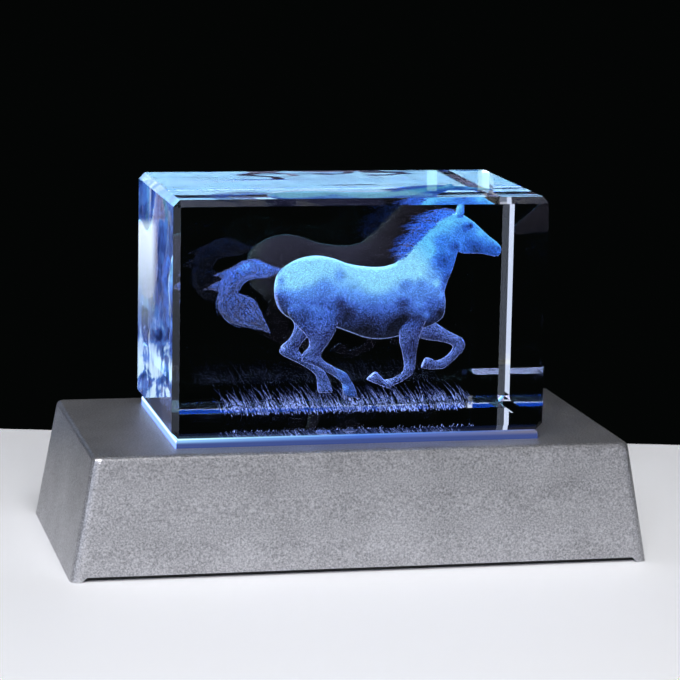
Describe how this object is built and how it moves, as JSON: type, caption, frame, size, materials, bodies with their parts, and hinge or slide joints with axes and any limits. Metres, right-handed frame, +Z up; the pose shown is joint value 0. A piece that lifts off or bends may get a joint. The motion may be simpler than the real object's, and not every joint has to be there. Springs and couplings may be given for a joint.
{
  "type": "engraved crystal block on a light base",
  "caption": "Clear chamfered crystal block with a galloping horse engraved inside, standing on a low tapered silver light base with a raised frosted window.",
  "frame": {"origin": "centre of the base's underside, on the table", "axes": "+Z up, +X along the base towards the horse's head, -Y towards the viewer in front"},
  "size_m": [0.124, 0.064, 0.0779],
  "materials": {
    "clear_crystal": "clear polished optical glass",
    "silver_paint": "silver grey paint with a fine sandy texture",
    "frosted_window": "frosted, lit blue white from below",
    "black_plastic": "matt black moulded plastic"
  },
  "bodies": {
    "root": {"crystal_block": "clear_crystal", "base_housing": "silver_paint", "light_window": "frosted_window", "bottom_plate": "black_plastic"}
  },
  "joints": []
}
